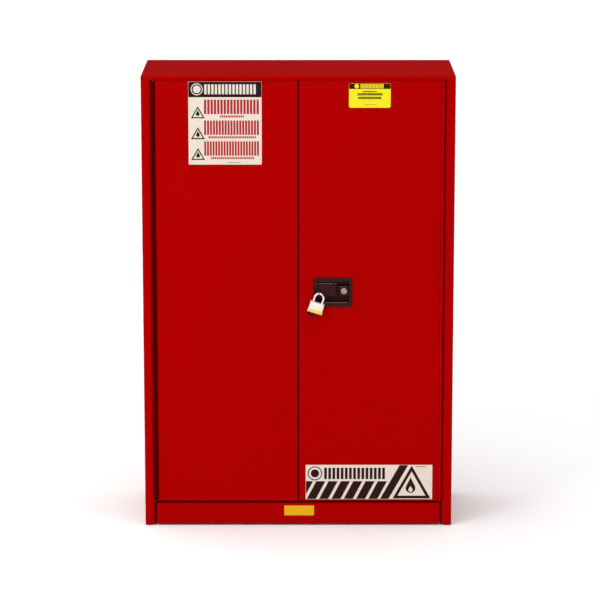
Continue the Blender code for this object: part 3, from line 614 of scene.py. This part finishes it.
def print_warning_label():
    """A dark heading over three rows, each a plain hazard triangle, a word and small print."""
    wide, tall = label_size("warning_label")
    black = [heading_band(wide, tall, 0.813 * tall, 0.0044)]
    red = []
    row_pitch = 0.2513 * tall
    sign_x = 0.1285 * wide
    for row, (word_bars, small_bars, small_left, small_right) in enumerate(WARNING_ROWS):
        sign_bottom = 0.5589 * tall - row * row_pitch
        black += triangle_frame(sign_x, sign_bottom, 0.190 * wide, 0.145 * tall, 0.0040)
        black.append(drop(sign_x, sign_bottom + 0.0080, 0.0130, 0.0210))
        word_top = 0.7840 * tall - row * row_pitch
        word_bottom = word_top - 0.1740 * tall
        red += block_word(0.214 * wide, word_bottom, 0.962 * wide, word_top, word_bars, WORD_FILL)
        small_top = word_bottom - 0.0150 * tall
        small_bottom = small_top - 0.0270 * tall
        red += block_word(small_left * wide, small_bottom, small_right * wide, small_top,
                          small_bars, WORD_FILL)
    black += block_word(0.531 * wide, 0.022 * tall, 0.707 * wide, 0.030 * tall, 9)
    print_on("warning_label_black_print", "warning_label", "left_door", black,
             PRINT_BLACK)
    print_on("warning_label_red_print", "warning_label", "left_door", red,
             PRINT_RED)
    middle = 0.908 * tall
    badge_x = 0.1165 * wide
    half_height = 0.0175
    badge = ring(badge_x, middle, 0.0212, 0.0182)
    badge.append(disc(badge_x, middle, 0.0135))
    badge += block_word(0.219 * wide, middle - half_height, 0.921 * wide, middle + half_height,
                        15, HEADING_FILL)
    print_on("warning_label_heading_blocks", "warning_label", "left_door", badge,
             FINISHES["label_cream"], 1)


def print_capacity_label():
    """A dark heading over three rows of bars, a dot and a line of small print."""
    wide, tall = label_size("capacity_label")
    heading_bottom = 0.775 * tall
    black = [heading_band(wide, tall, heading_bottom, 0.0054)]
    for left, right, middle, half_share, bars in CAPACITY_ROWS:
        half = half_share * tall
        black += block_word(left * wide, middle * tall - half, right * wide,
                            middle * tall + half, bars, DENSE_FILL)
    black.append(disc(0.5 * wide, 0.27 * tall, 0.0016))
    black += block_word(0.38 * wide, 0.115 * tall, 0.66 * wide, 0.135 * tall, 9)
    print_on("capacity_label_print", "capacity_label", "right_door", black,
             PRINT_BROWN)
    middle = (heading_bottom + tall) / 2
    half_height = 0.0078
    badge = [disc(0.185 * wide, middle, 0.0080)]
    badge += block_word(0.275 * wide, middle - half_height, 0.83 * wide, middle + half_height,
                        17, WORD_FILL)
    print_on("capacity_label_heading_blocks", "capacity_label", "right_door", badge,
             FINISHES["label_yellow"], 1)


def print_hazard_strip():
    """Slanted stripes, a row of blocks above them, and a large hazard triangle."""
    wide, tall = label_size("hazard_strip")
    stripes_top = 0.525 * tall
    lean = 0.51 * stripes_top
    pitch = 0.0974 * wide
    width = 0.0720 * wide
    black = []
    for index in range(STRIPES):
        left = -0.0888 * wide + index * pitch
        black.append(slanted_bar(left, width, STRIP_EDGE, stripes_top, lean, STRIP_EDGE))
    black.append(slanted_bar(0.5876 * wide, 0.0674 * wide, STRIP_EDGE, tall - STRIP_EDGE,
                             0.154 * wide))
    black += triangle_frame(0.8370 * wide, 0.020 * tall, 0.300 * wide, 0.960 * tall, 0.0105)
    drop_x = 0.8290 * wide
    black.append(drop(drop_x, 0.185 * tall, 0.0350, 0.0580))
    middle = 0.752 * tall
    badge_x = 0.0730 * wide
    half_height = 0.0212
    black += ring(badge_x, middle, 0.0262, 0.0225)
    black.append(disc(badge_x, middle, 0.0150))
    black += block_word(0.146 * wide, middle - half_height, 0.626 * wide, middle + half_height,
                        15, HEADING_FILL)
    black += block_word(0.868 * wide, 0.935 * tall, 0.952 * wide, 0.960 * tall, 9)
    print_on("hazard_strip_print", "hazard_strip", "right_door", black,
             PRINT_BROWN)
    light = [drop(drop_x, 0.215 * tall, 0.0150, 0.0220)]
    print_on("hazard_strip_light_marks", "hazard_strip", "right_door", light,
             FINISHES["label_cream"], 1)


# ---------------------------------------------------------------- handle

def add_ridge(name, left, right, height, back, body):
    """A level moulded ridge with sloped flanks, standing out from the face at back."""
    front = back - RIDGE_REACH
    root = back + RIDGE_ROOT
    section = [(root, -0.5), (back, -0.5), (front, -0.2), (front, 0.2), (back, 0.5), (root, 0.5)]
    mesh = bmesh.new()
    ends = [[mesh.verts.new((x, y, height + share * RIDGE_WIDTH)) for y, share in section]
            for x in (left, right)]
    join_rings(mesh, ends)
    # Painted highlight: the ridge is coloured lighter than the handle around it
    new_piece(name, mesh, HANDLE_RIDGE_PAINTED_HIGHLIGHT, body)


def build_handle_ridges():
    """The handle's ridges in painted highlight: on the paddle, over the key lock and under the pocket."""
    paddle_low, paddle_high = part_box("handle_paddle")
    lock_low, lock_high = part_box("key_cylinder")
    housing_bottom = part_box("handle_housing")[0].z
    lock_x = (lock_low.x + lock_high.x) / 2
    add_ridge("paddle_ridge", paddle_low.x + 0.0090, paddle_high.x - 0.0110,
              paddle_high.z - 0.0032, DOOR_FRONT - PADDLE_FACE, "paddle")
    add_ridge("lock_ridge", lock_x - 0.0150, lock_x + 0.0126,
              lock_high.z + 0.0050, DOOR_FRONT - LOCK_FACE, "right_door")
    add_ridge("pocket_ridge", lock_x - 0.0670, lock_x + 0.0128,
              housing_bottom + 0.0158, DOOR_FRONT - POCKET_FACE, "right_door")


# ---------------------------------------------------------------- padlock

def padlock_place():
    """The matrix from the upright padlock to where it hangs, from the joints of the model."""
    centre = Vector(JOINTS["padlock_swing"]["pos_m"])
    down = Vector(JOINTS["padlock_pull_open"]["axis"])
    tilt = math.atan2(-down.x, -down.z)
    return Matrix.Translation(centre) @ Matrix.Rotation(tilt, 4, "Y")


def hang_piece(piece, body, slot, *replaced):
    """Moves a piece to where the padlock hangs, and ties it to its body."""
    piece.matrix_world = padlock_place()
    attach(piece, body)
    if replaced:
        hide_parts(*replaced)


def add_plate(mesh, half_width, half_depth, bottom, top):
    """Adds a flat plate with rounded corners and chamfered rims, lying level."""
    inner = rounded(-half_width + PLATE_CHAMFER, -half_depth + PLATE_CHAMFER,
                    half_width - PLATE_CHAMFER, half_depth - PLATE_CHAMFER,
                    PLATE_CORNER - PLATE_CHAMFER)
    outer = rounded(-half_width, -half_depth, half_width, half_depth, PLATE_CORNER)
    levels = ((inner, bottom), (outer, bottom + PLATE_CHAMFER), (outer, top - PLATE_CHAMFER),
              (inner, top))
    join_rings(mesh, [[mesh.verts.new((x, y, z)) for x, y in outline] for outline, z in levels])


def add_rivet(mesh, x, y, z):
    """Adds a low domed rivet head on a level face."""
    profile = [(RIVET_RADIUS, 0), (0.88 * RIVET_RADIUS, 0.55 * RIVET_HEIGHT),
               (0.5 * RIVET_RADIUS, 0.9 * RIVET_HEIGHT)]
    join_rings(mesh, [[mesh.verts.new((*point, z + rise))
                       for point in disc(x, y, radius, RIVET_STEPS)] for radius, rise in profile])


def cut_holes(item, holes):
    """Cuts upright round holes, each (x, bottom, top, radius), and keeps the result as the mesh."""
    mesh = bmesh.new()
    for x, bottom, top, radius in holes:
        place = Matrix.Translation((x, 0, (bottom + top) / 2))
        add_round_bar(mesh, place, top - bottom, radius, radius)
    data = bpy.data.meshes.new("holes")
    mesh.to_mesh(data)
    mesh.free()
    cutter = bpy.data.objects.new("holes", data)
    bpy.context.scene.collection.objects.link(cutter)
    boolean = item.modifiers.new("holes", "BOOLEAN")
    boolean.object = cutter
    boolean.solver = "EXACT"
    boolean.use_self = True
    apply_modifiers(item)
    bpy.data.objects.remove(cutter)


def build_lock_body():
    """A stack of steel plates held by rivets, with holes for the shackle and the key."""
    mesh = bmesh.new()
    thickness = (BODY_TOP - BODY_BOTTOM) / LAMINATIONS
    for layer in range(LAMINATIONS):
        inset = PLATE_STEP if layer % 2 else 0.0
        bottom = BODY_BOTTOM + layer * thickness
        add_plate(mesh, BODY_HALF_WIDTH - inset, BODY_HALF_DEPTH - inset, bottom,
                  bottom + thickness)
    body = loose_piece("padlock_laminations", mesh, FINISHES["laminated_steel"])
    leg_holes = [(x, BODY_TOP - LEG_HOLE_DEPTH, 0, WIRE_RADIUS + LEG_PLAY)
                 for x in (-ARCH_RADIUS, ARCH_RADIUS)]
    keyway = (KEY_X, BODY_BOTTOM - KEYWAY_OVERSHOOT, BODY_BOTTOM + KEYWAY_DEPTH, KEYWAY_RADIUS)
    cut_holes(body, [*leg_holes, keyway])
    shade(body)
    hang_piece(body, "padlock", "laminated_steel", "padlock_body")
    rivets = bmesh.new()
    for x in (-RIVET_X, RIVET_X):
        for y in (-RIVET_Y, RIVET_Y):
            add_rivet(rivets, x, y, BODY_TOP - RIVET_SUNK)
    heads = loose_piece("padlock_rivets", rivets, FINISHES["laminated_steel"])
    shade(heads, 60)
    hang_piece(heads, "padlock", "laminated_steel")


def build_shackle():
    """A round steel bar bent to a half circle, with its legs down into the body."""
    curve = bpy.data.curves.new("padlock_round_shackle", "CURVE")
    curve.dimensions = "3D"
    curve.bevel_depth = WIRE_RADIUS
    curve.bevel_resolution = 6
    curve.use_fill_caps = True
    line = curve.splines.new("POLY")
    leg_end = BODY_TOP - LEG_LENGTH
    points = [(-ARCH_RADIUS, leg_end), (-ARCH_RADIUS, ARCH_FOOT)]
    for step in range(ARCH_STEPS + 1):
        angle = math.pi * (1 - step / ARCH_STEPS)
        points.append((ARCH_RADIUS * math.cos(angle), ARCH_RADIUS * math.sin(angle)))
    points += [(ARCH_RADIUS, ARCH_FOOT), (ARCH_RADIUS, leg_end)]
    line.points.add(len(points) - 1)
    for point, (x, z) in zip(line.points, points):
        point.co = (x, 0, z, 1)
    bent = bpy.data.objects.new("shackle_line", curve)
    bpy.context.scene.collection.objects.link(bent)
    data = evaluated_mesh(bent)
    bpy.data.objects.remove(bent)
    data.materials.clear()
    data.materials.append(FINISHES["chrome"])
    shackle = bpy.data.objects.new("padlock_round_shackle", data)
    bpy.context.scene.collection.objects.link(shackle)
    shade(shackle, 50)
    hang_piece(shackle, "shackle", "chrome", "padlock_shackle")


def build_key():
    """A key pushed home: its plug, a short neck and a rounded black head with a ring hole."""
    neck = bmesh.new()
    add_round_bar(neck, Matrix.Translation((KEY_X, 0, KEY_BASE + PLUG_MIDDLE)), PLUG_LENGTH,
                  PLUG_RADIUS, PLUG_RADIUS)
    add_round_bar(neck, Matrix.Translation((KEY_X, 0, KEY_BASE + NECK_MIDDLE)), NECK_LENGTH,
                  NECK_BOTTOM_RADIUS, NECK_TOP_RADIUS, 24)
    plug = loose_piece("padlock_key_neck", neck, FINISHES["stainless_steel"])
    shade(plug)
    hang_piece(plug, "padlock_turning_key", "stainless_steel")
    bow = bmesh.new()
    outline = rounded(KEY_X - HEAD_HALF_WIDTH, KEY_BASE + HEAD_BOTTOM,
                      KEY_X + HEAD_HALF_WIDTH, KEY_BASE + HEAD_TOP, HEAD_CORNER, steps=8)
    extrude_outline(bow, outline, -HEAD_HALF_DEPTH, HEAD_HALF_DEPTH)
    head = loose_piece("padlock_key_head", bow, FINISHES["black_plastic"])
    cutter = bmesh.new()
    place = Matrix.Translation((KEY_X, 0, KEY_BASE + RING_HOLE_Z))
    add_round_bar(cutter, place @ Matrix.Rotation(math.pi / 2, 4, "X"), RING_HOLE_DEPTH,
                  RING_HOLE_RADIUS, RING_HOLE_RADIUS, 24)
    hole = loose_piece("ring_hole", cutter, FINISHES["black_plastic"])
    boolean = head.modifiers.new("ring_hole", "BOOLEAN")
    boolean.object = hole
    bevel = head.modifiers.new("soft_edges", "BEVEL")
    bevel.width = HEAD_ROUNDING
    bevel.segments = 3
    bevel.limit_method = "ANGLE"
    bevel.angle_limit = math.radians(50)
    apply_modifiers(head)
    bpy.data.objects.remove(hole)
    shade(head, 40)
    hang_piece(head, "padlock_turning_key", "black_plastic", "padlock_key")


bpy.context.scene.view_settings.view_transform = "Standard"
make_camera()
make_dome()
make_floor()
make_key_light()
make_sun()
finish_nodes()
print_warning_label()
print_capacity_label()
print_hazard_strip()
build_handle_ridges()
build_lock_body()
build_shackle()
build_key()
